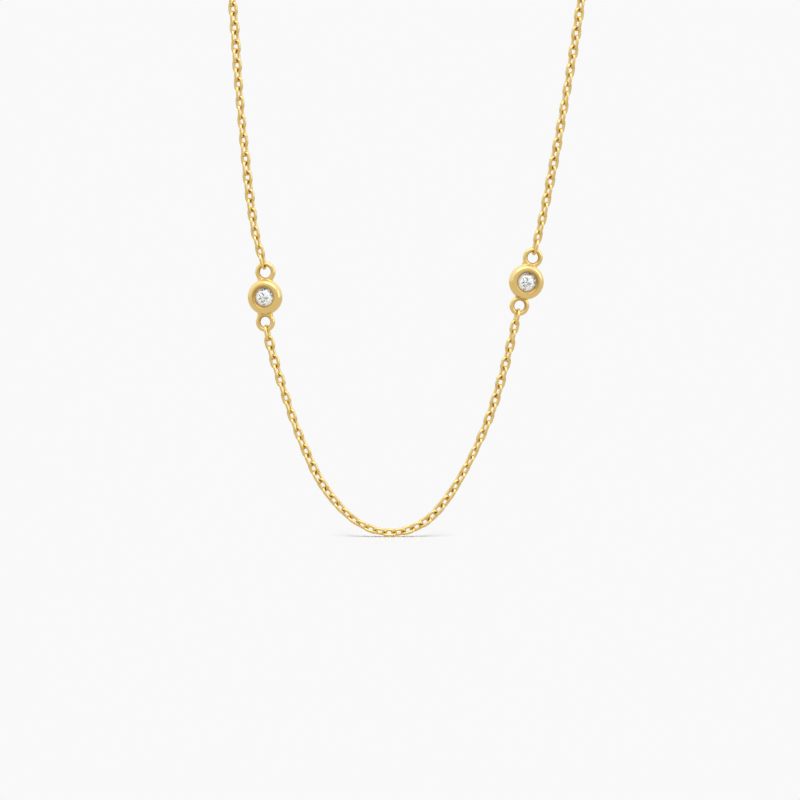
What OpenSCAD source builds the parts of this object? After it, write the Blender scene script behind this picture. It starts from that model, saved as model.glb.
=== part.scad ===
// Necklace of fine cable chain with two round diamonds in rounded bezels, hanging as a closed loop.
// It hangs in the XZ plane with its front towards -Y, and the origin is the middle of its clasp.

/* [Chain] */
// Distance from the middle of one link to the middle of the next
link_pitch = 0.95; // [0.94:0.005:0.96]
// Width of a link, outside
link_width = 1.08; // [1.08:0.01:1.12]
// Diameter of the link wire
link_wire = 0.26; // [0.2:0.01:0.26]
// Play between one link and the next
link_play = 0.15; // [0.145:0.005:0.16]
// Inner length of the larger link that joins the chain to a ring
joiner_inner = 1.16; // [1.1:0.01:1.25]
// Width of that larger link, outside
joiner_width = 1.38; // [1.36:0.01:1.4]
// Links above each diamond that are modelled one by one
links_shown = 29; // [20:1:40]

/* [Bezels] */
// Outer diameter of a bezel
bezel_d = 3.55; // [3.5:0.05:3.8]
// Depth of a bezel from front to back
bezel_depth = 1.5; // [1.5:0.05:1.9]
// Radius of the rounded front edge
front_round = 0.5; // [0.35:0.01:0.5]
// Radius of the rounded back edge
back_round = 0.6; // [0.2:0.01:0.65]
// Diameter of the opening in front
mouth_d = 2.24; // [2.2:0.01:2.26]
// Diameter of the hole behind the stone
back_hole_d = 1.1; // [0.9:0.05:1.3]

/* [Rings] */
// Wire of the ring above and below a bezel
ring_wire = 0.47; // [0.4:0.01:0.48]
// Diameter of the hole in that ring
ring_hole_d = 1.09; // [1.05:0.01:1.15]
// Distance from the middle of the bezel to the middle of a ring
ring_reach = 2.53; // [2.5:0.01:2.56]
// Width of the solder between a bezel and its ring
solder_w = 1.5; // [1.3:0.05:1.6]

/* [Diamonds] */
// Diameter of a diamond
stone_d = 2.0; // [1.96:0.01:2.0]
// Width of the table, as a part of the diameter
table_share = 0.56; // [0.53:0.01:0.6]
// Height of the crown, as a part of the diameter
crown_share = 0.15; // [0.13:0.005:0.16]
// Depth of the pavilion, as a part of the diameter
pavilion_share = 0.43; // [0.42:0.005:0.44]
// Height of the girdle
girdle_h = 0.05; // [0.03:0.01:0.06]
// Gap between a diamond and the metal round it
stone_gap = 0.03; // [0.02:0.005:0.04]

/* [Clasp] */
// Outer diameter of the clasp ring
clasp_d = 5.0; // [4.5:0.1:6]
// Thickness of the clasp ring
clasp_wire = 1.1; // [0.9:0.05:1.2]
// Diameter of the hole in each eye of the clasp
eye_hole_d = 1.0; // [0.95:0.01:1.1]
// Wire of each eye
eye_wire = 0.42; // [0.35:0.01:0.46]

/* [Loop] */
// Height of the clasp above the lowest link
loop_height = 207.5; // [206:0.5:210]
// Radius of the arch that closes the loop
arch_radius = 26; // [25:0.5:28]

/* [Hidden] */
$fn = 48;
gold = [0.86, 0.68, 0.33];

// Bezels: place right of the clasp and height above the lowest link, lean to the right, turn to the right,
// and the lean of the chain that pulls at the ring above and at the ring below
left_place = [-13.62, 23.75];
left_lean = 0;
left_turn = -16;
left_pull = [-14, -10];
right_place = [12.76, 25.3];
right_lean = 15.4;
right_turn = 14;
right_pull = [14, 13];

// Courses of the chain: place right of the clasp, height above the lowest link
front_course = [[-12.75, 17.4], [-11.8, 14.3], [-10.7, 11.0], [-9.45, 7.9], [-8.1, 5.1], [-6.6, 3.0],
                [-4.9, 1.3], [-3.0, 0.2], [-1.0, -0.2], [1.1, 0.17], [2.9, 1.17], [4.5, 2.9],
                [6.1, 5.35], [7.65, 8.3], [9.03, 11.5], [10.12, 14.9], [11.0, 18.2]];
left_course = [[-14.5, 29.6], [-15.1, 33.3], [-15.7, 38.7], [-16.25, 44.5], [-16.65, 50.5], [-17.2, 57],
               [-18.0, 66], [-19.2, 80], [-20.9, 98], [-22.8, 118], [-24.5, 138], [-25.6, 156],
               [-26, 170]];
right_course = [[14.28, 31.2], [15.4, 36.6], [16.5, 42.6], [17.5, 48.6], [18.4, 54.6], [19.5, 62],
                [20.9, 73], [22.6, 88], [24.2, 105], [25.3, 123], [25.9, 141], [26, 158], [26, 170]];

// Bezel: radii, and depths measured back from its middle
outer_r = bezel_d / 2;
front_y = -bezel_depth / 2;
mouth_round = 0.14;
lip_r = stone_d / 2 - 0.07;
room_r = stone_d / 2 + stone_gap;
girdle_y = front_y + 0.54;
lip_y = girdle_y - 0.1;
pavilion_h = pavilion_share * stone_d;
crown_h = crown_share * stone_d;
star_share = 0.8;
half_share = 0.24;
solder_t = 0.36;
solder_sink = 0.3;
lip_slope = 0.14;

// Rings and eyes: radius of the wire's middle line
ring_r = (ring_hole_d + ring_wire) / 2;
eye_r = (eye_hole_d + eye_wire) / 2;
clasp_r = (clasp_d - clasp_wire) / 2;
eye_drop = 5;
eye_sink = 0.05;
eye_reach = clasp_d / 2 + eye_r - eye_sink;

// Chain: the tube that stands for the hidden links, in stretches that each take a share of its length,
// and the way the links turn
tube_d = 1.06;
tube_step = 4.2;
tube_sides = 8;
tube_gap = 0.2;
tube_shares = [0, 0.37, 0.72, 0.86, 1];
turn_mid = 46;
turn_swing = 7;
turn_period = 15;
front_twist = 8;
side_twist = 14;
twist_per_link = 0.05;
curve_steps = 8;

// Small vector helpers
function unit(v) = v / norm(v);
function in_plane(p) = [p[0], 0, p[1] - loop_height];
function upright(lean) = [sin(lean), 0, cos(lean)];

// Direction of the course at one of its points, nearer to that of the shorter neighbouring chord
function heading(p, i) =
    i == 0 ? unit(p[1] - p[0]) :
    i == len(p) - 1 ? unit(p[i] - p[i - 1]) :
    let (before = p[i] - p[i - 1], after = p[i + 1] - p[i])
    unit(before / pow(norm(before), 2) + after / pow(norm(after), 2));

// A smooth curve through the points p, as many short chords
function curve_point(p, i, t) =
    (2 * pow(t, 3) - 3 * pow(t, 2) + 1) * p[i]
    + (pow(t, 3) - 2 * pow(t, 2) + t) * chord(p, i) * heading(p, i)
    + (3 * pow(t, 2) - 2 * pow(t, 3)) * p[i + 1]
    + (pow(t, 3) - pow(t, 2)) * chord(p, i) * heading(p, i + 1);
function curve(p) = concat(
    [for (i = [0 : len(p) - 2], k = [0 : curve_steps - 1]) curve_point(p, i, k / curve_steps)],
    [p[len(p) - 1]]);

// Running length of a curve at each of its points, and the place at a distance along it
function chord(c, i) = i + 1 < len(c) ? norm(c[i + 1] - c[i]) : 0;
function running(c) = [for (i = 0, s = 0; i < len(c); s = s + chord(c, i), i = i + 1) s];
function pairs(c, run, axis) = [for (i = [0 : len(c) - 1]) [run[i], c[i][axis]]];
function along(c, run, s) = [for (axis = [0 : 2]) lookup(s, pairs(c, run, axis))];
function whole(run) = run[len(run) - 1];

// Where a chain's end link bears inside the ring above or below a bezel, and where that link ends
function bearing(place, lean, up, pull) =
    in_plane(place) + up * (ring_reach * upright(lean) + ring_hole_d / 2 * upright(pull));
function joiner_end(place, lean, up, pull) =
    bearing(place, lean, up, pull) + up * joiner_inner * upright(pull);
function eye_dir(side) = [side * cos(eye_drop), 0, -sin(eye_drop)];
function eye_end(side) = (eye_reach + eye_hole_d / 2 + joiner_inner) * eye_dir(side);

// The arch over the top, from one side up to the clasp
function arch(side) = [for (a = [5 : 15 : 65])
    [side * arch_radius * cos(a), 0, arch_radius * (sin(a) - 1)]];

// The three stretches of chain between their end links
function placed(course) = [for (p = course) in_plane(p)];
front_curve = curve(concat([joiner_end(left_place, left_lean, -1, left_pull[1])], placed(front_course),
                           [joiner_end(right_place, right_lean, -1, right_pull[1])]));
left_curve = curve(concat([joiner_end(left_place, left_lean, 1, left_pull[0])], placed(left_course),
                          arch(-1), [eye_end(-1)]));
right_curve = curve(concat([joiner_end(right_place, right_lean, 1, right_pull[0])], placed(right_course),
                           arch(1), [eye_end(1)]));
front_run = running(front_curve);
left_run = running(left_curve);
right_run = running(right_curve);

// Links in each stretch: an odd number, so that the first and the last stand square to the end links
function links(run) = 2 * round((whole(run) / link_pitch - 1) / 2) + 1;

// Turn of link i about the chain: neighbours stand nearly square to each other, and the pair sways
function pair_turn(i, swing) = (i % 2 == 0 ? -1 : 1) * (turn_mid + swing * cos(360 * i / turn_period));
function front_turn(i, count) = front_twist * (1 + cos(360 * i / (count - 1))) + pair_turn(i, -turn_swing);
function side_turn(i, side) = side * (side_twist + twist_per_link * i + pair_turn(i, turn_swing));

// One link with its long axis along Z and its width along X
module link(width, inner, wire = link_wire) {
    bend = (width - wire) / 2;
    side_l = inner + 2 * wire - width;
    for (end = [0, 180]) rotate([0, end, 0]) {
        translate([0, 0, side_l / 2])
            rotate([90, 0, 0])
                rotate_extrude(angle = 180, $fn = 40)
                    translate([bend, 0]) circle(d = wire, $fn = 16);
        translate([bend, 0, -side_l / 2]) cylinder(d = wire, h = side_l, $fn = 16);
    }
}

// Puts a link between the points a and b, turned about the line that joins them
module between(a, b, turn) {
    z = unit(b - a);
    x = cos(turn) * cross(z, [0, 1, 0]) + sin(turn) * [0, 1, 0];
    y = cross(z, x);
    mid = (a + b) / 2;
    multmatrix([[x[0], y[0], z[0], mid[0]],
                [x[1], y[1], z[1], mid[1]],
                [x[2], y[2], z[2], mid[2]]])
        children();
}

// The larger link in a ring: it stands square to the ring's plane
module joiner(place, lean, up, pull, turn)
    between(bearing(place, lean, up, pull), joiner_end(place, lean, up, pull), -up * (turn + 90))
        link(joiner_width, joiner_inner + 2 * link_play);

module front_chain() {
    count = links(front_run);
    step = whole(front_run) / count;
    color(gold) {
        joiner(left_place, left_lean, -1, left_pull[1], left_turn);
        for (i = [0 : count - 1])
            between(along(front_curve, front_run, i * step),
                    along(front_curve, front_run, (i + 1) * step),
                    front_turn(i, count))
                link(link_width, link_pitch + link_play);
        joiner(right_place, right_lean, -1, right_pull[1], right_turn);
    }
}

// The links of a side chain that are seen, from the bezel's ring upwards
module side_chain(c, run, side) {
    step = whole(run) / links(run);
    for (i = [0 : links_shown - 1])
        between(along(c, run, i * step), along(c, run, (i + 1) * step), side_turn(i, side))
            link(link_width, link_pitch + link_play);
}
module left_chain()
    color(gold) {
        joiner(left_place, left_lean, 1, left_pull[0], left_turn);
        side_chain(left_curve, left_run, -1);
    }
module right_chain()
    color(gold) {
        joiner(right_place, right_lean, 1, right_pull[0], right_turn);
        side_chain(right_curve, right_run, 1);
    }

// A tube along a course from one distance to another
module tube(c, run, start, end) {
    count = ceil((end - start) / tube_step);
    n = len(c) - 1;
    onward = unit(c[n] - c[n - 1]);
    centres = [for (k = [0 : count])
        let (s = start + (end - start) * k / count)
        s < whole(run) ? along(c, run, s) : c[n] + (s - whole(run)) * onward];
    points = [for (k = [0 : count])
        let (
            d = unit(centres[min(k + 1, count)] - centres[max(k - 1, 0)]),
            out = cross([0, 1, 0], d)
        )
        for (a = [0 : 360 / tube_sides : 359])
            centres[k] + tube_d / 2 * (cos(a) * out + sin(a) * [0, 1, 0])];
    walls = [for (k = [0 : count - 1], a = [0 : tube_sides - 1])
        let (b = (a + 1) % tube_sides, lo = k * tube_sides, hi = lo + tube_sides)
        [lo + a, lo + b, hi + b, hi + a]];
    first = [for (a = [tube_sides - 1 : -1 : 0]) a];
    last = [for (a = [0 : tube_sides - 1]) count * tube_sides + a];
    polyhedron(points, concat(walls, [first, last]), convexity = 6);
}

// The rest of a side chain, where its links are hidden, from the last link that is seen to the clasp
module back_chain(c, run) {
    step = whole(run) / links(run);
    start = links_shown * step + (link_play + 2 * link_wire) / 2;
    end = whole(run) + joiner_inner - eye_wire;
    color(gold)
        for (k = [0 : len(tube_shares) - 2])
            tube(c, run, start + (end - start) * tube_shares[k] + tube_gap,
                 start + (end - start) * tube_shares[k + 1] - (k == len(tube_shares) - 2 ? tube_gap : 0));
}
module left_back_chain() back_chain(left_curve, left_run);
module right_back_chain() back_chain(right_curve, right_run);

// Half of the bezel's section: the rounded wall, with a recess in front and a seat that holds the stone
module bezel_section() {
    front_r = outer_r - front_round;
    back_r = outer_r - back_round;
    inner_r = back_hole_d / 2;
    mouth_edge_r = mouth_d / 2 + mouth_round;
    seat_y = girdle_y + girdle_h + stone_gap;
    seat_slope = pavilion_h / (stone_d / 2);
    difference() {
        union() {
            translate([front_r, front_y + front_round]) circle(r = front_round);
            translate([back_r, -front_y - back_round]) circle(r = back_round);
            translate([mouth_edge_r, front_y + mouth_round]) circle(r = mouth_round);
            translate([mouth_edge_r, front_y]) square([front_r - mouth_edge_r, front_round]);
            translate([inner_r, front_y + mouth_round])
                square([mouth_edge_r - inner_r, front_round - mouth_round]);
            translate([inner_r, front_y + front_round])
                square([outer_r - inner_r, bezel_depth - front_round - back_round]);
            translate([inner_r, -front_y - back_round]) square([back_r - inner_r, back_round]);
        }
        // Recess down to the lip, then the room for the girdle, the seat and the hole behind
        polygon([[0, front_y - 1], [mouth_d / 2, front_y - 1], [mouth_d / 2, front_y + mouth_round],
                 [lip_r, girdle_y - lip_slope], [lip_r, lip_y], [room_r, lip_y], [room_r, seat_y],
                 [back_hole_d / 2, seat_y + (room_r - back_hole_d / 2) * seat_slope],
                 [0, seat_y + room_r * seat_slope]]);
    }
}

// A bezel with its two rings and their solder, facing -Y
module bezel()
    color(gold) {
        difference() {
            union() {
                rotate([-90, 0, 0])
                    rotate_extrude($fn = 96) bezel_section();
                for (turn = [0, 180])
                    rotate([0, turn, 0])
                        translate([-solder_w / 2, -solder_t / 2, outer_r - solder_sink])
                            cube([solder_w, solder_t, ring_reach - outer_r + solder_sink]);
            }
            for (up = [-1, 1])
                translate([0, 0, up * ring_reach])
                    rotate([90, 0, 0])
                        cylinder(d = 2 * ring_r, h = 2 * solder_t, center = true);
        }
        for (up = [-1, 1])
            translate([0, 0, up * ring_reach])
                rotate([90, 0, 0])
                    rotate_extrude()
                        translate([ring_r, 0]) circle(d = ring_wire, $fn = 32);
    }

// A round brilliant facing -Y: the outline of its corners, row by row from the table down
module diamond() {
    r = stone_d / 2;
    table_r = table_share * r;
    star_r = star_share * r;
    half_r = half_share * r;
    star_y = -crown_h * (r - star_r * cos(22.5)) / (r - table_r);
    half_y = girdle_h + pavilion_h * (r - half_r * cos(22.5)) / r;
    // Radius, first angle, depth and number of corners of each row
    rows = [[table_r, 0, -crown_h, 8],
            [star_r, 22.5, star_y, 8],
            [r, 0, 0, 16],
            [r, 0, girdle_h, 16],
            [half_r, 22.5, half_y, 8],
            [0, 0, girdle_h + pavilion_h, 1]];
    corners = [for (row = rows, k = [0 : row[3] - 1])
        let (a = row[1] + 360 * k / row[3]) [row[0] * cos(a), row[2], row[0] * sin(a)]];
    color([0.93, 0.95, 0.97]) translate([0, girdle_y, 0])
        hull() polyhedron(corners, [[for (k = [0 : len(corners) - 1]) k]]);
}

// Puts a bezel or its stone in its place, leaning and turned
module stand(place, lean, turn)
    translate(in_plane(place))
        rotate([0, lean, 0])
            rotate([0, 0, turn])
                children();
module left_bezel() stand(left_place, left_lean, left_turn) bezel();
module right_bezel() stand(right_place, right_lean, right_turn) bezel();
module left_diamond() stand(left_place, left_lean, left_turn) diamond();
module right_diamond() stand(right_place, right_lean, right_turn) diamond();

// One plain closed ring with an eye soldered on each side
module clasp()
    color(gold) {
        rotate([90, 0, 0])
            rotate_extrude($fn = 72)
                translate([clasp_r, 0]) circle(d = clasp_wire, $fn = 32);
        for (side = [-1, 1])
            translate(eye_reach * eye_dir(side))
                rotate([90, 0, 0])
                    rotate_extrude()
                        translate([eye_r, 0]) circle(d = eye_wire, $fn = 32);
    }

front_chain();
left_chain();
right_chain();
left_back_chain();
right_back_chain();
left_bezel();
right_bezel();
left_diamond();
right_diamond();
clasp();
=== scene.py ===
"""Looks of a fine gold cable chain necklace with two round diamonds in rounded bezels.

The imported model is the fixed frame. The necklace hangs in the XZ plane with its front towards -Y, and the
origin is the middle of its clasp. Everything is in metres.
"""
import math

import bpy
from mathutils import Matrix, Vector


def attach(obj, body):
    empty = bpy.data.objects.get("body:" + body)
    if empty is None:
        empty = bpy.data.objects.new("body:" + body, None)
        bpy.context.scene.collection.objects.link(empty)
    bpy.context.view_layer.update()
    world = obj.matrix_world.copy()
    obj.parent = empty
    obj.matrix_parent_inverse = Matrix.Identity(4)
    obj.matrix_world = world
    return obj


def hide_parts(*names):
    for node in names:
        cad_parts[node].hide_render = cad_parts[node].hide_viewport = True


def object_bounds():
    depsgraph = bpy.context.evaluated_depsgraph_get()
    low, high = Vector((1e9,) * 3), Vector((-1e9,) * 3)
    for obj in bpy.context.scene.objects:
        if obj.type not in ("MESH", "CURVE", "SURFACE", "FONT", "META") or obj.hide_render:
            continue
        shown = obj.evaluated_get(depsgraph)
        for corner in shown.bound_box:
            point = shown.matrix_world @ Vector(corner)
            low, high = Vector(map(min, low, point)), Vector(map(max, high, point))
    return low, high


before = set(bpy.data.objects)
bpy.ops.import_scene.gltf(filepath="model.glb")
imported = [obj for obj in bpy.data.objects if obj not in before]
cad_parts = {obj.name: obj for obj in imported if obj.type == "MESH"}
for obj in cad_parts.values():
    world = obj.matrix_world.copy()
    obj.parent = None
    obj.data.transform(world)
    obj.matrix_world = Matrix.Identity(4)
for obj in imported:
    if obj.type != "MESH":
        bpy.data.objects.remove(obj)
cad_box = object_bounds()


# Front chain
# The stretch of cable chain between the two diamonds: oval links of round gold wire, each closed with
# solder and hooked into the next, so that neighbours stand nearly square to each other. A larger link at
# each end, the joiner, hangs in a bezel's ring.

wire_d = 0.00033
wire_sides = 6
bend_steps = 5
link_width = 0.00108
link_pitch = 0.00095
joiner_width = 0.00134
joiner_inner = 0.00116

# Height of the clasp above the lowest link, the hole of the bezels' rings, and how far the middle of a ring
# is from the middle of its bezel
loop_height = 0.2075
ring_hole = 0.00109
ring_reach = 0.00253

# Bezels: place right of the clasp and height above the lowest link, lean, turn, and the lean of the chain
# that pulls at the ring above and at the ring below
left_station = {"place": (-0.01362, 0.02375), "lean": 0, "turn": -16, "pull_up": -14, "pull_down": -10}
right_station = {"place": (0.01276, 0.0253), "lean": 15.4, "turn": 14, "pull_up": 14, "pull_down": 13}

# Course of the chain: place right of the clasp and height above the lowest link
front_course = [(-0.01275, 0.0174), (-0.0118, 0.0143), (-0.0107, 0.011), (-0.00945, 0.0079),
                (-0.0081, 0.0051), (-0.0066, 0.003), (-0.0049, 0.0013), (-0.003, 0.0002), (-0.001, -0.0002),
                (0.0011, 0.00017), (0.0029, 0.00117), (0.0045, 0.0029), (0.0061, 0.00535), (0.00765, 0.0083),
                (0.00903, 0.0115), (0.01012, 0.0149), (0.011, 0.0182)]

curve_steps = 8
back_axis = Vector((0, 1, 0))

# Turn of the links about the course, in degrees: to one side and the other in turn, a little more or less
# along so many links, and further at both ends of the front chain
turn_mid = 46
turn_swing = 7
turn_period = 15
front_twist = 8
square = 90

# How fast the inside of a link's round ends grows dull and darker with painted shade
end_dull_and_shade = 1.6

# A place off a link's planes of symmetry. The link's faces are numbered by how far they are from it, since
# extruding numbers them differently in each run.
number_from = (0.001, 0.002, 0.003)


def in_plane(point):
    """A place across and a height above the lowest link, as a point of the hanging plane."""
    return Vector((point[0], 0, point[1] - loop_height))


def upright(lean):
    """The way up, leaning so many degrees to the right."""
    return Vector((math.sin(math.radians(lean)), 0, math.cos(math.radians(lean))))


def bearing(station, up):
    """Where the chain's end link bears inside the ring above (up = 1) or below (up = -1) a bezel."""
    pull = station["pull_up"] if up > 0 else station["pull_down"]
    out = ring_reach * upright(station["lean"]) + ring_hole / 2 * upright(pull)
    return in_plane(station["place"]) + up * out


def joiner_end(station, up):
    """Where the chain's first ordinary link bears inside the joiner."""
    pull = station["pull_up"] if up > 0 else station["pull_down"]
    return bearing(station, up) + up * joiner_inner * upright(pull)


def heading(points, i):
    """Direction of a course at one of its points, nearer to that of the shorter neighbouring chord."""
    if i == 0:
        return (points[1] - points[0]).normalized()
    if i == len(points) - 1:
        return (points[i] - points[i - 1]).normalized()
    before = points[i] - points[i - 1]
    after = points[i + 1] - points[i]
    return (before / before.length_squared + after / after.length_squared).normalized()


def smooth_course(points):
    """Many short chords on a smooth curve through the points."""
    curve = []
    for i in range(len(points) - 1):
        chord = (points[i + 1] - points[i]).length
        for k in range(curve_steps):
            t = k / curve_steps
            curve.append((2 * t**3 - 3 * t**2 + 1) * points[i]
                         + (t**3 - 2 * t**2 + t) * chord * heading(points, i)
                         + (3 * t**2 - 2 * t**3) * points[i + 1]
                         + (t**3 - t**2) * chord * heading(points, i + 1))
    return curve + [points[-1]]


def even_steps(curve, count):
    """count + 1 points at equal running distances along the curve."""
    running = [0]
    for start, end in zip(curve, curve[1:]):
        running.append(running[-1] + (end - start).length)
    points = []
    chord = 0
    for i in range(count + 1):
        wanted = running[-1] * i / count
        while chord < len(curve) - 2 and running[chord + 1] < wanted:
            chord += 1
        share = (wanted - running[chord]) / (running[chord + 1] - running[chord])
        points.append(curve[chord].lerp(curve[chord + 1], share))
    return points


def course_length(curve):
    """Running length of a curve."""
    return sum((end - start).length for start, end in zip(curve, curve[1:]))


def links_along(curve):
    """An odd number of links, so that the first and the last stand square to the end links."""
    return 2 * round((course_length(curve) / link_pitch - 1) / 2) + 1


def between(start, end, turn):
    """The place of a link whose inner length runs from start to end, turned about that line."""
    along = (end - start).normalized()
    across = math.cos(math.radians(turn)) * along.cross(back_axis) + math.sin(math.radians(turn)) * back_axis
    place = Matrix((across, along.cross(across), along)).transposed().to_4x4()
    place.translation = (start + end) / 2
    return place


def pair_turn(i, swing):
    """Turn of a link to the left or to the right, so that each stands nearly square to the next."""
    side = -1 if i % 2 == 0 else 1
    return side * (turn_mid + swing * math.cos(math.radians(360 * i / turn_period)))


def within(share):
    """A share, kept from 0 to 1."""
    return min(1, max(0, share))


def mark_dull_and_shade(piece, share_at):
    """Keeps for each place of a piece its dullness and painted shade, 0 for bright and 1 for dull and dark.
    """
    dull = piece.data.attributes.new("dull", "FLOAT", "POINT")
    for vertex in piece.data.vertices:
        dull.data[vertex.index].value = share_at(vertex.co)


def bend_link(width, inner):
    """One link of round wire: straight up one side, round the end, down the other side and round again."""
    bend = (width - wire_d) / 2
    side = inner + 2 * wire_d - width
    bpy.ops.object.select_all(action="DESELECT")
    bpy.ops.mesh.primitive_circle_add(vertices=wire_sides, radius=wire_d / 2, location=(bend, 0, -side / 2))
    bpy.ops.object.mode_set(mode="EDIT")
    for end in (1, -1):
        bpy.ops.mesh.extrude_region_move(TRANSFORM_OT_translate={"value": (0, 0, end * side)})
        bpy.ops.mesh.spin(steps=bend_steps, angle=math.pi, center=(0, 0, end * side / 2), axis=(0, 1, 0))
    bpy.ops.mesh.select_all(action="SELECT")
    bpy.ops.mesh.remove_doubles(threshold=wire_d / 100)
    bpy.ops.mesh.normals_make_consistent(inside=False)
    bpy.context.scene.cursor.location = number_from
    bpy.ops.mesh.sort_elements(type="CURSOR_DISTANCE", elements={"FACE"})
    bpy.context.scene.cursor.location = (0, 0, 0)
    bpy.ops.object.mode_set(mode="OBJECT")
    bpy.ops.object.transform_apply(location=True, rotation=True, scale=True)
    bpy.ops.object.shade_smooth()
    link = bpy.context.object

    def inside_of_end(point):
        """Inside the round ends, where the next link bears: dull, as polishing doesn't reach, with painted
        shade.
        """
        beyond = max(abs(point.z) - side / 2, 0)
        inside = within(0.5 + (bend - math.hypot(point.x, beyond)) / wire_d)
        return within(beyond / bend * end_dull_and_shade) * inside

    mark_dull_and_shade(link, inside_of_end)
    return link


def hook_together(name, patterns):
    """Copies each pattern link to its places, joins the copies to one piece and clears the patterns away."""
    bpy.ops.object.select_all(action="DESELECT")
    for pattern, places in patterns:
        for place in places:
            link = pattern.copy()
            link.data = pattern.data.copy()
            bpy.context.collection.objects.link(link)
            link.matrix_world = place
            link.select_set(True)
            bpy.context.view_layer.objects.active = link
    chain = bpy.context.object
    bpy.ops.object.join()
    bpy.ops.object.transform_apply(location=True, rotation=True, scale=True)
    chain.name = name
    for pattern, places in patterns:
        bpy.data.objects.remove(pattern)
    return chain


class Tone:
    """A socket of a finish, so that sums and products of tones add their own Math nodes."""

    def __init__(self, finish, socket):
        self.finish = finish
        self.socket = socket

    def maths(self, operation, *others):
        """The tone that a Math node makes of this one and others."""
        return self.finish.node("ShaderNodeMath", {"operation": operation}, dict(enumerate((self, *others))))

    def __add__(self, other):
        return self.maths("ADD", other)

    def __mul__(self, other):
        return self.maths("MULTIPLY", other)

    def __sub__(self, other):
        return self.maths("SUBTRACT", other)

    def __rsub__(self, other):
        return self * -1 + other

    __radd__ = __add__
    __rmul__ = __mul__


class Finish:
    """A material, or the light of a world, built node by node."""

    def __init__(self, owner):
        self.material = owner
        owner.use_nodes = True
        self.tree = owner.node_tree
        self.tree.nodes.clear()

    def node(self, kind, settings=None, inputs=None, out=0):
        """Adds a node, sets it, fills or links its sockets, and gives the output named or numbered out."""
        node = self.tree.nodes.new(kind)
        for name, value in (settings or {}).items():
            if name == "stops":
                ramp = node.color_ramp.elements
                while len(ramp) < len(value):
                    ramp.new(1)
                for stop, (position, colour) in zip(ramp, value):
                    stop.position = position
                    stop.color = colour
            else:
                setattr(node, name, value)
        for name, value in (inputs or {}).items():
            if isinstance(value, Tone):
                self.tree.links.new(value.socket, node.inputs[name])
            else:
                node.inputs[name].default_value = value
        return Tone(self, node.outputs[out]) if len(node.outputs) else None

    def blend(self, share, first, second):
        """A colour between two others."""
        return self.node("ShaderNodeMix", {"data_type": "RGBA"}, {0: share, 6: first, 7: second}, out=2)


# Gold: how fine its clouds, its grain and its scratches are, how the scratches run, what the clouds, the
# grain and dullness add to the roughness, and how deep the scratches and the grain are beside the clouds
cloud_scale = 0.6
grain_scale = 6
scratch_scale = 4
scratch_turn = (0.4, 0.3, 0.7)
scratch_stretch = (1, 1, 9)
cloud_satin = 0.1
grain_satin = 0.08
dull_satin = 0.15
scratch_depth = 0.3
grain_depth = 0.2
ripple_strength = 0.35


def gold_finish(name, deep, bright, painted_shade_tone, satin, grain_size, polish_depth):
    """Yellow gold: two close shades in soft clouds, the faint ripple and scratches that polishing leaves, and
    a duller tone, darkened with painted shade, where a piece is marked."""
    gold = Finish(bpy.data.materials.new(name))
    place = gold.node("ShaderNodeTexCoord", out="Object")
    clouds = gold.node("ShaderNodeTexNoise", {}, {
        "Vector": place, "Scale": cloud_scale / grain_size, "Detail": 2.0})
    grain = gold.node("ShaderNodeTexNoise", {}, {
        "Vector": place, "Scale": grain_scale / grain_size, "Detail": 3.0})
    stretched = gold.node("ShaderNodeMapping", {}, {
        "Vector": place, "Rotation": scratch_turn, "Scale": scratch_stretch})
    scratches = gold.node("ShaderNodeTexNoise", {}, {
        "Vector": stretched, "Scale": scratch_scale / grain_size, "Detail": 2.0})
    dull = gold.node("ShaderNodeAttribute", {"attribute_name": "dull"}, out="Fac")
    # Where a piece is marked, the colour turns to a dark tone: painted shade.
    colour = gold.blend(dull, gold.blend(clouds, deep, bright), painted_shade_tone)
    roughness = satin + (clouds - 0.5) * cloud_satin + (grain - 0.5) * grain_satin + dull * dull_satin
    ripple = gold.node("ShaderNodeBump", {}, {
        "Height": clouds + scratches * scratch_depth + grain * grain_depth,
        "Strength": ripple_strength, "Distance": polish_depth})
    shader = gold.node("ShaderNodeBsdfPrincipled", {}, {
        "Base Color": colour, "Metallic": 1.0, "Roughness": roughness, "Normal": ripple})
    gold.node("ShaderNodeOutputMaterial", {}, {"Surface": shader})
    return gold.material


wire_gold = gold_finish("polished_gold_wire", deep=(0.92, 0.68, 0.25, 1), bright=(0.98, 0.79, 0.39, 1),
                        painted_shade_tone=(0.66, 0.44, 0.12, 1), satin=0.22, grain_size=0.0006,
                        polish_depth=0.0000015)

front_curve = smooth_course([joiner_end(left_station, -1)] + [in_plane(point) for point in front_course]
                            + [joiner_end(right_station, -1)])
front_count = links_along(front_curve)
front_points = even_steps(front_curve, front_count)


def front_turn(i):
    """Turn of a link of the front chain, with the twist at its ends."""
    twist = front_twist * (1 + math.cos(math.radians(360 * i / (front_count - 1))))
    return twist + pair_turn(i, -turn_swing)


front_places = [between(front_points[i], front_points[i + 1], front_turn(i)) for i in range(front_count)]
front_joiners = [between(bearing(station, -1), joiner_end(station, -1), station["turn"] + square)
                 for station in (left_station, right_station)]
front_chain = hook_together("front_chain_links", [
    (bend_link(link_width, course_length(front_curve) / front_count), front_places),
    (bend_link(joiner_width, joiner_inner), front_joiners)])
front_chain.data.materials.append(wire_gold)
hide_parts("front_chain")
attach(front_chain, "root")


# Side chains
# The chain from each bezel up to the clasp, the same links all the way: the photographed stretch and the
# hidden one that takes the plain way round the neck. One joiner hangs in the bezel's ring and another in
# the clasp's eye.

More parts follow.
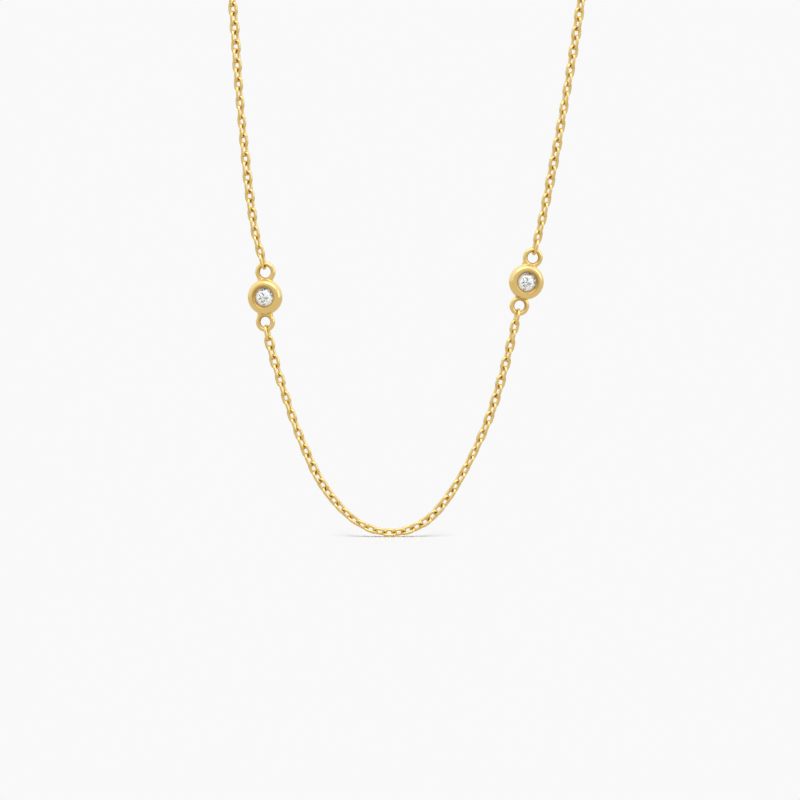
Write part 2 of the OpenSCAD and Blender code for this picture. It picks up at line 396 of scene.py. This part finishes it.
left_course = [(-0.0145, 0.0296), (-0.0151, 0.0333), (-0.0157, 0.0387), (-0.01625, 0.0445),
               (-0.01665, 0.0505), (-0.0172, 0.057), (-0.018, 0.066), (-0.0192, 0.08), (-0.0209, 0.098),
               (-0.0228, 0.118), (-0.0245, 0.138), (-0.0256, 0.156), (-0.026, 0.17)]
right_course = [(0.01428, 0.0312), (0.0154, 0.0366), (0.0165, 0.0426), (0.0175, 0.0486), (0.0184, 0.0546),
                (0.0195, 0.062), (0.0209, 0.073), (0.0226, 0.088), (0.0242, 0.105), (0.0253, 0.123),
                (0.0259, 0.141), (0.026, 0.158), (0.026, 0.17)]

# The arch round the neck: its radius, and its places in degrees above level
arch_radius = 0.026
arch_angles = (5, 20, 35, 50, 65)

# Clasp and eyes: width and wire of the clasp, hole and wire of an eye, how many degrees it sits below level
# and how deep it is soldered in
clasp_d = 0.005
clasp_wire = 0.0011
eye_hole = 0.001
eye_wire = 0.00042
eye_drop = 5
eye_sink = 0.00005
eye_reach = clasp_d / 2 + (eye_hole + eye_wire) / 2 - eye_sink

# Twist of the side chains in degrees, at the bezel and more with each link
side_twist = 11
twist_per_link = 0.05


def eye_way(side):
    """Direction from the middle of the clasp to its eye on the left (-1) or on the right (1)."""
    return Vector((side * math.cos(math.radians(eye_drop)), 0, -math.sin(math.radians(eye_drop))))


def side_turn(i, side):
    """Turn of a link of the left (-1) or the right (1) chain."""
    return side * (side_twist + twist_per_link * i + pair_turn(i, turn_swing))


def side_chain(name, station, course, side):
    """The chain from a bezel up its course, over the arch and to the clasp's eye."""
    arch = [Vector((side * arch_radius * math.cos(math.radians(angle)), 0,
                    arch_radius * (math.sin(math.radians(angle)) - 1))) for angle in arch_angles]
    eye_bearing = (eye_reach + eye_hole / 2) * eye_way(side)
    last = eye_bearing + joiner_inner * eye_way(side)
    curve = smooth_course([joiner_end(station, 1)] + [in_plane(point) for point in course] + arch + [last])
    count = links_along(curve)
    points = even_steps(curve, count)
    places = [between(points[i], points[i + 1], side_turn(i, side)) for i in range(count)]
    joiners = [between(bearing(station, 1), joiner_end(station, 1), -station["turn"] - square),
               between(last, eye_bearing, square)]
    return hook_together(name, [(bend_link(link_width, course_length(curve) / count), places),
                                (bend_link(joiner_width, joiner_inner), joiners)])


left_chain = side_chain("left_chain_links", left_station, left_course, -1)
left_chain.data.materials.append(wire_gold)
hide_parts("left_chain", "left_back_chain")
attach(left_chain, "root")

right_chain = side_chain("right_chain_links", right_station, right_course, 1)
right_chain.data.materials.append(wire_gold)
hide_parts("right_chain", "right_back_chain")
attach(right_chain, "root")


# Bezels
# Each bezel is a thick ring of gold turned with a rounded rim, a recess that slopes down to the lip over
# the stone and a seat bored behind it. A ring of round wire is soldered on above and below, and the solder
# flows into the corners. The whole is polished to a soft shine.

bezel_r = 0.001775
bezel_depth = 0.0015
front_round = 0.0005
back_round = 0.00075
back_hole_r = 0.00055
hole_round = 0.00008
mouth_r = 0.00126
lip_r = 0.00093
seat_r = 0.00103
bezel_sides = 96
merge_reach = 0.000002

# Inside of the bezel, over the rolled rim down to the lip, along the seat and on to the hole behind the
# stone: radius and depth
bore_steps = [(mouth_r, -bezel_depth / 2), (0.00117, -0.00074), (0.00108, -0.0007), (0.00101, -0.00063),
              (0.00096, -0.00054), (0.000935, -0.00045), (lip_r, -0.00031), (seat_r, -0.00031),
              (seat_r, -0.00013), (back_hole_r, 0.00028), (back_hole_r, bezel_depth / 2)]

# Edges of the bezel that are rounded: radius, depth, rounding and steps
rounded_edges = [(bezel_r, -bezel_depth / 2, front_round, 10), (bezel_r, bezel_depth / 2, back_round, 6),
                 (back_hole_r, bezel_depth / 2, hole_round, 3)]

# The ring above (1) and below (-1) a bezel: its hole, then its solder: width at the ring and at its foot on
# the bezel, shift to the right, thickness, shift to the back, and how dull a corner it leaves at the bezel,
# darkened there with painted shade
left_rings = {1: {"hole": 0.00114, "width": 0.00186, "foot": 0.00164, "right": 0.0,
                  "thickness": 0.00046, "back": 0.0, "corner": 0.2},
              -1: {"hole": 0.00103, "width": 0.00172, "foot": 0.0016, "right": 0.0,
                   "thickness": 0.00056, "back": -0.00006, "corner": 0.0}}
right_rings = {1: {"hole": 0.00109, "width": 0.00158, "foot": 0.00145, "right": -0.0002,
                   "thickness": 0.00046, "back": 0.0, "corner": 0.2},
               -1: {"hole": 0.00106, "width": 0.0013, "foot": 0.0011, "right": 0.0,
                    "thickness": 0.00026, "back": 0.0001, "corner": 0.8}}
ring_wire = 0.0005

# How deep the solder sinks in the bezel, how far it climbs past the middle of the ring, and its rounding as
# a share of its thickness
solder_sink = 0.0003
solder_climb = 0.0001
solder_round = 0.4
drill_length = 0.002

casting_voxel = 0.000035
casting_smoothing = 8
polish_strength = 0.5

# Dull places, darkened with painted shade: how wide the dull slope inside the mouth is; how far to the side
# the rings reach; how far outside the bezel the corner is dullest, and how wide it is; how dull a ring is
# inside and how dark its painted reflection there is, how far within its wall, and how wide that is
mouth_fade = 0.00016
rings_side = 0.0009
corner_out = 0.00004
corner_fade = 0.00016
ring_dullness_and_dark_reflection = 1.2
wall_in = 0.00005
wall_fade = 0.00013


def select_loop(mesh_object, radius, depth, tolerance=0.00001):
    """Selects the edges that lie on the circle of that radius at that depth."""
    bpy.ops.object.mode_set(mode="EDIT")
    bpy.ops.mesh.select_all(action="DESELECT")
    bpy.ops.object.mode_set(mode="OBJECT")
    mesh = mesh_object.data

    def on_circle(index):
        point = mesh.vertices[index].co
        return abs(math.hypot(point.x, point.z) - radius) < tolerance and abs(point.y - depth) < tolerance

    for edge in mesh.edges:
        edge.select = all(on_circle(index) for index in edge.vertices)
    for vertex in mesh.vertices:
        vertex.select = on_circle(vertex.index)
    bpy.ops.object.mode_set(mode="EDIT")


def turn_bezel():
    """The turned body, facing -Y: a tube whose front edge is drawn in and down its own bore to the back."""
    bpy.ops.object.select_all(action="DESELECT")
    bpy.ops.mesh.primitive_cylinder_add(vertices=bezel_sides, radius=bezel_r, depth=bezel_depth,
                                        end_fill_type="NOTHING", rotation=(math.pi / 2, 0, 0))
    body = bpy.context.object
    bpy.ops.object.transform_apply(location=True, rotation=True, scale=True)
    select_loop(body, bezel_r, -bezel_depth / 2)
    radius, depth = bezel_r, -bezel_depth / 2
    for new_radius, new_depth in bore_steps:
        bpy.ops.mesh.extrude_region_move(TRANSFORM_OT_translate={"value": (0, new_depth - depth, 0)})
        share = new_radius / radius
        bpy.ops.transform.resize(value=(share, 1, share), center_override=(0, new_depth, 0))
        radius, depth = new_radius, new_depth
    share = bezel_r / radius
    bpy.ops.mesh.extrude_region_move(TRANSFORM_OT_translate={"value": (0, 0, 0)})
    bpy.ops.transform.resize(value=(share, 1, share), center_override=(0, depth, 0))
    bpy.ops.mesh.select_all(action="SELECT")
    bpy.ops.mesh.remove_doubles(threshold=merge_reach)
    bpy.ops.mesh.normals_make_consistent(inside=False)
    for radius, depth, rounding, steps in rounded_edges:
        select_loop(body, radius, depth)
        bpy.ops.mesh.bevel(offset=rounding, segments=steps, affect="EDGES")
    bpy.ops.object.mode_set(mode="OBJECT")
    return body


def solder_pad(up, ring):
    """The solder between the bezel and one ring: a rounded wedge with the ring's opening cut through it."""
    low = bezel_r - solder_sink
    high = ring_reach + solder_climb
    bpy.ops.object.select_all(action="DESELECT")
    bpy.ops.mesh.primitive_cube_add(size=1, location=(ring["right"], ring["back"], up * (low + high) / 2),
                                    scale=(ring["width"], ring["thickness"], high - low))
    pad = bpy.context.object
    bpy.ops.object.transform_apply(location=True, rotation=True, scale=True)
    for face in pad.data.polygons:
        face.select = face.normal.z * up < -0.5
    bpy.ops.object.mode_set(mode="EDIT")
    bpy.ops.mesh.select_mode(type="FACE")
    bpy.ops.transform.resize(value=(ring["foot"] / ring["width"], 1, 1),
                             center_override=(ring["right"], 0, 0))
    bpy.ops.mesh.select_mode(type="VERT")
    bpy.ops.object.mode_set(mode="OBJECT")
    rounding = pad.modifiers.new("rounding", "BEVEL")
    rounding.width = ring["thickness"] * solder_round
    rounding.segments = 3
    bpy.ops.object.modifier_apply(modifier=rounding.name)
    bpy.ops.mesh.primitive_cylinder_add(vertices=48, radius=(ring["hole"] + ring_wire) / 2,
                                        depth=drill_length, location=(0, 0, up * ring_reach),
                                        rotation=(math.pi / 2, 0, 0))
    drill = bpy.context.object
    bpy.context.view_layer.objects.active = pad
    cut = pad.modifiers.new("opening", "BOOLEAN")
    cut.operation = "DIFFERENCE"
    cut.object = drill
    bpy.ops.object.modifier_apply(modifier=cut.name)
    bpy.data.objects.remove(drill)
    return pad


def fuse(pieces, name, voxel, smoothing):
    """Makes one smooth skin of pieces that overlap, as solder and polishing do."""
    bpy.ops.object.select_all(action="DESELECT")
    for piece in pieces:
        piece.select_set(True)
    bpy.context.view_layer.objects.active = pieces[0]
    bpy.ops.object.join()
    casting = bpy.context.object
    casting.name = name
    skin = casting.modifiers.new("skin", "REMESH")
    skin.mode = "VOXEL"
    skin.voxel_size = voxel
    bpy.ops.object.modifier_apply(modifier=skin.name)
    polish = casting.modifiers.new("polish", "SMOOTH")
    polish.factor = polish_strength
    polish.iterations = smoothing
    bpy.ops.object.modifier_apply(modifier=polish.name)
    bpy.ops.object.shade_smooth()
    return casting


def wire_ring(hole, wire, centre):
    """A closed ring of round wire that lies in the hanging plane."""
    bpy.ops.object.select_all(action="DESELECT")
    bpy.ops.mesh.primitive_torus_add(major_segments=64, minor_segments=20, major_radius=(hole + wire) / 2,
                                     minor_radius=wire / 2, location=centre, rotation=(math.pi / 2, 0, 0))
    bpy.ops.object.transform_apply(location=True, rotation=True, scale=True)
    return bpy.context.object


def stand(piece, station):
    """Puts a piece that was made round the origin, facing -Y, in its station, leaning and turned."""
    place = (Matrix.Translation(in_plane(station["place"]))
             @ Matrix.Rotation(math.radians(station["lean"]), 4, "Y")
             @ Matrix.Rotation(math.radians(station["turn"]), 4, "Z"))
    piece.matrix_world = place
    bpy.ops.object.select_all(action="DESELECT")
    piece.select_set(True)
    bpy.context.view_layer.objects.active = piece
    bpy.ops.object.transform_apply(location=True, rotation=True, scale=True)


def bezel_with_rings(name, station, rings):
    """A bezel with its two rings soldered on, polished and in its station."""
    pieces = [turn_bezel()]
    for up, ring in rings.items():
        pieces.append(wire_ring(ring["hole"], ring_wire, (0, 0, up * ring_reach)))
        pieces.append(solder_pad(up, ring))
    casting = fuse(pieces, name, casting_voxel, casting_smoothing)

    def dull_and_shaded_at(point):
        """Dull, darkened with painted shade: the slope inside the mouth, the hole behind the stone and the
        corners by the solder; dull, with a painted dark reflection: the insides of the rings.
        """
        away = math.hypot(point.x, point.z)
        if away < mouth_r and point.y > 0:
            return within((back_hole_r + hole_round - away) / hole_round)
        if away < mouth_r:
            return within((mouth_r - away) / mouth_fade)
        if abs(point.x) > rings_side or abs(point.z) < abs(point.x):
            return 0
        ring = rings[1 if point.z > 0 else -1]
        from_ring = math.hypot(point.x, abs(point.z) - ring_reach)
        by_bezel = ring["corner"] - abs(away - bezel_r - corner_out) / corner_fade
        in_ring = ring_dullness_and_dark_reflection - abs(from_ring - ring["hole"] / 2 - wall_in) / wall_fade
        return within(max(by_bezel, in_ring))

    mark_dull_and_shade(casting, dull_and_shaded_at)
    stand(casting, station)
    return casting


bezel_gold = gold_finish("soft_polished_gold", deep=(0.94, 0.69, 0.25, 1), bright=(0.99, 0.78, 0.38, 1),
                         painted_shade_tone=(0.58, 0.37, 0.11, 1), satin=0.22, grain_size=0.0012,
                         polish_depth=0.0000008)
for name, station, rings, node in (("left_bezel_casting", left_station, left_rings, "left_bezel"),
                                   ("right_bezel_casting", right_station, right_rings, "right_bezel")):
    casting = bezel_with_rings(name, station, rings)
    casting.data.materials.append(bezel_gold)
    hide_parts(node)
    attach(casting, "root")


# Diamonds
# A round brilliant of 2 mm in each bezel, colourless and clear. Each facet is ground on flat, one after
# another, round a disc: table, stars, mains and halves above the girdle, mains and halves below it.

stone_r = 0.001
girdle_y = -0.00021

# Proportions as shares of the stone's radius, and slopes of the facets in degrees from level
table_share = 0.56
crown_share = 0.3
pavilion_share = 0.86
girdle_share = 0.05
star_slope = 24
upper_half_slope = 41.5
lower_half_slope = 42.3
main_slope = math.degrees(math.atan(crown_share / (1 - table_share)))
pavilion_slope = math.degrees(math.atan(pavilion_share))
straight_down = 180

# Steps round the stone in degrees: from main to main, from main to star, and from main to half
eighth = 45
sixteenth = 22.5
half_step = sixteenth / 2

# The grinding's own limits, on a stone of radius 1
cut_reach = 0.00001
facet_merge = 0.0005
flat_within = 0.5


def grind(slope, azimuth, through):
    """Cuts away all that lies outside one facet: its slope from level, its azimuth and a point on it."""
    tilt = math.radians(slope)
    around = math.radians(azimuth)
    normal = Vector((math.sin(tilt) * math.cos(around), math.sin(tilt) * math.sin(around), math.cos(tilt)))
    bpy.ops.mesh.select_all(action="SELECT")
    bpy.ops.mesh.bisect(plane_co=through, plane_no=normal, use_fill=True, clear_outer=True,
                        threshold=cut_reach)


def round_stone(radius, azimuth, height):
    """A point at that distance from the stone's axis."""
    return (radius * math.cos(math.radians(azimuth)), radius * math.sin(math.radians(azimuth)), height)


def cut_brilliant(name):
    """The stone of radius 1 with its girdle at the origin, then made to size and laid to face -Y."""
    bpy.ops.object.select_all(action="DESELECT")
    bpy.ops.mesh.primitive_cylinder_add(vertices=96, radius=1, depth=2)
    stone = bpy.context.object
    stone.name = name
    bpy.ops.object.mode_set(mode="EDIT")
    table = (0, 0, crown_share)
    grind(0, 0, table)
    for k in range(8):
        main = k * eighth
        grind(main_slope, main, round_stone(1, main, 0))
        grind(star_slope, main + sixteenth, round_stone(table_share, main, crown_share))
        grind(straight_down - pavilion_slope, main, round_stone(1, main, -girdle_share))
        for side in (half_step, 3 * half_step):
            rim = main + (0 if side == half_step else eighth)
            grind(upper_half_slope, main + side, round_stone(1, rim, 0))
            grind(straight_down - lower_half_slope, main + side, round_stone(1, rim, -girdle_share))
    bpy.ops.mesh.select_all(action="SELECT")
    bpy.ops.mesh.remove_doubles(threshold=facet_merge)
    bpy.ops.mesh.dissolve_limited(angle_limit=math.radians(flat_within))
    bpy.ops.mesh.normals_make_consistent(inside=False)
    bpy.ops.object.mode_set(mode="OBJECT")
    bpy.ops.object.shade_flat()
    from_middle = stone.data.attributes.new("from_middle", "FLOAT_VECTOR", "POINT")
    for vertex in stone.data.vertices:
        from_middle.data[vertex.index].vector = vertex.co
    stone.matrix_world = (Matrix.Translation((0, girdle_y, 0)) @ Matrix.Rotation(math.pi / 2, 4, "X")
                          @ Matrix.Scale(stone_r, 4))
    bpy.ops.object.transform_apply(location=True, rotation=True, scale=True)
    return stone


# Painted glints and reflections: small bright and dark flakes in rays about the middle, painted on the crown
# where the facets behind would show through, most of the dark ones under the table: how many rays, how many
# flakes out to the girdle, where the table ends, how likely dark flakes are inside and outside it, and their
# shades
glints_round = 24
glints_out = 6.5
table_edge = (0.4, 0.65)
inside_chance = -0.13
outside_chance = 0.12
painted_glint_shades = [(0.0, (0.04, 0.04, 0.06, 1)), (0.32, (0.3, 0.32, 0.37, 1)), (0.43, (0.87, 0.915, 1.0, 1))]
painted_glint_glow = 0.28
glint_roughness = 0.08
sparkle_share = 0.86
diamond_ior = 2.42
white = (1, 1, 1, 1)

brilliant = Finish(bpy.data.materials.new("clear_diamond"))
clear = brilliant.node("ShaderNodeBsdfPrincipled", {}, {
    "Base Color": white, "Metallic": 0.0, "Roughness": 0.0, "IOR": diamond_ior, "Transmission Weight": 1.0})
place = brilliant.node("ShaderNodeAttribute", {"attribute_name": "from_middle"}, out="Vector")
stone_x = brilliant.node("ShaderNodeSeparateXYZ", {}, {0: place}, out="X")
stone_y = brilliant.node("ShaderNodeSeparateXYZ", {}, {0: place}, out="Y")
out_from_middle = (stone_x * stone_x + stone_y * stone_y).maths("SQRT")
round_the_middle = stone_x.maths("ARCTAN2", stone_y)
rays = brilliant.node("ShaderNodeCombineXYZ", {}, {
    "X": round_the_middle * (glints_round / math.tau), "Y": out_from_middle * glints_out})
flakes = brilliant.node("ShaderNodeTexVoronoi", {"voronoi_dimensions": "2D"},
                        {"Vector": rays, "Scale": 1.0}, out="Color")
beyond_table = brilliant.node("ShaderNodeMapRange", {}, {
    "Value": out_from_middle, "From Min": table_edge[0], "From Max": table_edge[1],
    "To Min": inside_chance, "To Max": outside_chance})
chance = brilliant.node("ShaderNodeSeparateColor", {}, {0: flakes}, out="Red") + beyond_table
painted_glints = brilliant.node("ShaderNodeValToRGB", {"stops": painted_glint_shades}, {0: chance}, out="Color")
# The flakes are painted into the colour of the crown and glow a little: painted glints, dark reflections and
# glow
sparkle = brilliant.node("ShaderNodeBsdfPrincipled", {}, {
    "Base Color": painted_glints, "Roughness": glint_roughness, "IOR": diamond_ior,
    "Emission Color": painted_glints, "Emission Strength": painted_glint_glow})
cut_stone = brilliant.node("ShaderNodeMixShader", {}, {0: sparkle_share, 1: clear, 2: sparkle})
brilliant.node("ShaderNodeOutputMaterial", {}, {"Surface": cut_stone})

for name, station, node in (("left_brilliant", left_station, "left_diamond"),
                            ("right_brilliant", right_station, "right_diamond")):
    stone = cut_brilliant(name)
    stand(stone, station)
    stone.data.materials.append(brilliant.material)
    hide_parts(node)
    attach(stone, "root")


# Clasp
# The photograph leaves the clasp out, so it is one plain closed ring of round wire with an eye soldered on
# each side, as highly polished as the chain.

clasp_voxel = 0.00005
clasp_smoothing = 6
clasp_pieces = [wire_ring(clasp_d - 2 * clasp_wire, clasp_wire, (0, 0, 0))]
for side in (-1, 1):
    clasp_pieces.append(wire_ring(eye_hole, eye_wire, eye_reach * eye_way(side)))
clasp = fuse(clasp_pieces, "clasp_ring", clasp_voxel, clasp_smoothing)
clasp.data.materials.append(wire_gold)
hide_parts("clasp")
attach(clasp, "root")


# Floor, light and camera
# The necklace hangs just clear of a plain pale floor in soft light from all round, brighter from above and
# from the right, and the camera looks at it from the front and a little from above.

pale = 0.947
floor_gap = 0.00006
floor_size = 8
floor_tone = (0.784, 0.784, 0.925, 1)
floor_reflected = (0.7, 0.65, 0.54, 1)

# The floor takes shade only close under the lowest links and is evenly pale further out: what centres the
# shade, its shape, and the reach of full and of no shade
shade_shift = (0.0008, 0, 0)
shade_shape = (1, 0.5, 0)
shade_full = 0.0015
shade_end = 0.0075

bpy.ops.object.select_all(action="DESELECT")
bpy.ops.mesh.primitive_plane_add(size=floor_size, location=(0, 0, cad_box[0][2] - floor_gap))
floor = bpy.context.object
floor.name = "pale_floor"
bpy.ops.object.transform_apply(location=True, rotation=True, scale=True)
paint = Finish(bpy.data.materials.new("pale_floor"))
seen = paint.node("ShaderNodeLightPath", out="Is Camera Ray")
place = paint.node("ShaderNodeTexCoord", out="Object")
near = paint.node("ShaderNodeBsdfDiffuse", {}, {"Color": floor_tone})
far = paint.node("ShaderNodeEmission", {}, {"Color": white, "Strength": pale})
from_links = paint.node("ShaderNodeMapping", {}, {
    "Vector": place, "Location": shade_shift, "Scale": shade_shape})
reach = paint.node("ShaderNodeVectorMath", {"operation": "LENGTH"}, {0: from_links}, out="Value")
fade = paint.node("ShaderNodeMapRange", {"interpolation_type": "SMOOTHSTEP"}, {
    "Value": reach, "From Min": shade_full, "From Max": shade_end, "To Min": 0.0, "To Max": 1.0})
lit = paint.node("ShaderNodeMixShader", {}, {0: fade, 1: near, 2: far})
reflected = paint.node("ShaderNodeEmission", {}, {"Color": floor_reflected, "Strength": 1.0})
pale_floor = paint.node("ShaderNodeMixShader", {}, {0: seen, 1: reflected, 2: lit})
paint.node("ShaderNodeOutputMaterial", {}, {"Surface": pale_floor})
floor.data.materials.append(paint.material)

# Light of the room: it grows from one strength to the other between two heights of the direction that it
# comes from, and again between two depths, so that it is dim straight in front. Matt surfaces lose a
# share of it.
sky_heights = (-0.2, 0.9)
sky_strengths = (0.82, 1.08)
front_depths = (-1.0, -0.6)
front_strengths = (0.68, 1.02)
matt_loss = 0.7

world = bpy.data.worlds.new("soft_studio")
bpy.context.scene.world = world
studio = Finish(world)
seen = studio.node("ShaderNodeLightPath", out="Is Camera Ray")
on_matt = studio.node("ShaderNodeLightPath", out="Is Diffuse Ray")
direction = studio.node("ShaderNodeTexCoord", out="Generated")
direction_z = studio.node("ShaderNodeSeparateXYZ", {}, {0: direction}, out="Z")
direction_y = studio.node("ShaderNodeSeparateXYZ", {}, {0: direction}, out="Y")
sky = studio.node("ShaderNodeMapRange", {"interpolation_type": "SMOOTHSTEP"}, {
    "Value": direction_z, "From Min": sky_heights[0], "From Max": sky_heights[1],
    "To Min": sky_strengths[0], "To Max": sky_strengths[1]})
front = studio.node("ShaderNodeMapRange", {"interpolation_type": "SMOOTHSTEP"}, {
    "Value": direction_y, "From Min": front_depths[0], "From Max": front_depths[1],
    "To Min": front_strengths[0], "To Max": front_strengths[1]})
room = studio.node("ShaderNodeBackground", {}, {
    "Color": white, "Strength": sky * front * (1 - on_matt * matt_loss)})
backdrop = studio.node("ShaderNodeBackground", {}, {"Color": white, "Strength": pale})
all_round = studio.node("ShaderNodeMixShader", {}, {0: seen, 1: room, 2: backdrop})
studio.node("ShaderNodeOutputWorld", {}, {"Surface": all_round})

# Soft boxes: place, width, height and brightness
soft_boxes = {"top_box": ((0.0, -0.5, 0.45), 0.7, 0.5, 1.2),
              "right_box": ((0.75, -0.45, -0.1), 0.3, 0.8, 1.2)}
box_aim = Vector((0, 0, -0.17))
for name, (place, width, height, brightness) in soft_boxes.items():
    light = bpy.data.lights.new(name, "AREA")
    light.shape = "RECTANGLE"
    light.size = width
    light.size_y = height
    light.energy = brightness * math.pi * width * height
    box = bpy.data.objects.new(name, light)
    bpy.context.collection.objects.link(box)
    box.location = place
    box.rotation_euler = (box_aim - Vector(place)).to_track_quat("-Z", "Y").to_euler()
    box.visible_camera = False
    box.visible_diffuse = False

# A broad lamp above and a little in front, which gives the floor its soft shade and doesn't show in the gold
lamp_colour = (1, 1, 0.8)
lamp_strength = 3.22
lamp_breadth = 46
lamp_tilt = 31
lamp = bpy.data.lights.new("overhead_lamp", "SUN")
lamp.color = lamp_colour
lamp.energy = lamp_strength
lamp.angle = math.radians(lamp_breadth)
overhead = bpy.data.objects.new("overhead_lamp", lamp)
bpy.context.collection.objects.link(overhead)
overhead.rotation_euler = (math.radians(lamp_tilt), 0, 0)
overhead.visible_glossy = False
overhead.visible_transmission = False

bpy.context.scene.view_settings.view_transform = "Standard"

# Camera: its lens, the width that it takes in at the necklace, the height above the lowest link that it aims
# at, and how many degrees above level it looks from
lens = 200
sensor = 36
view_width = 0.0811
aim_height = 0.0133
camera_rise = 3.5
distance = view_width * lens / sensor
aim = Vector((0, 0, aim_height - loop_height))
way = Vector((0, -math.cos(math.radians(camera_rise)), math.sin(math.radians(camera_rise))))
camera_data = bpy.data.cameras.new("front_camera")
camera_data.lens = lens
camera_data.sensor_width = sensor
camera_data.clip_start = 0.01
camera_data.clip_end = 20
camera = bpy.data.objects.new("front_camera", camera_data)
bpy.context.collection.objects.link(camera)
camera.location = aim + distance * way
camera.rotation_euler = (math.radians(90 - camera_rise), 0, 0)
bpy.context.scene.camera = camera
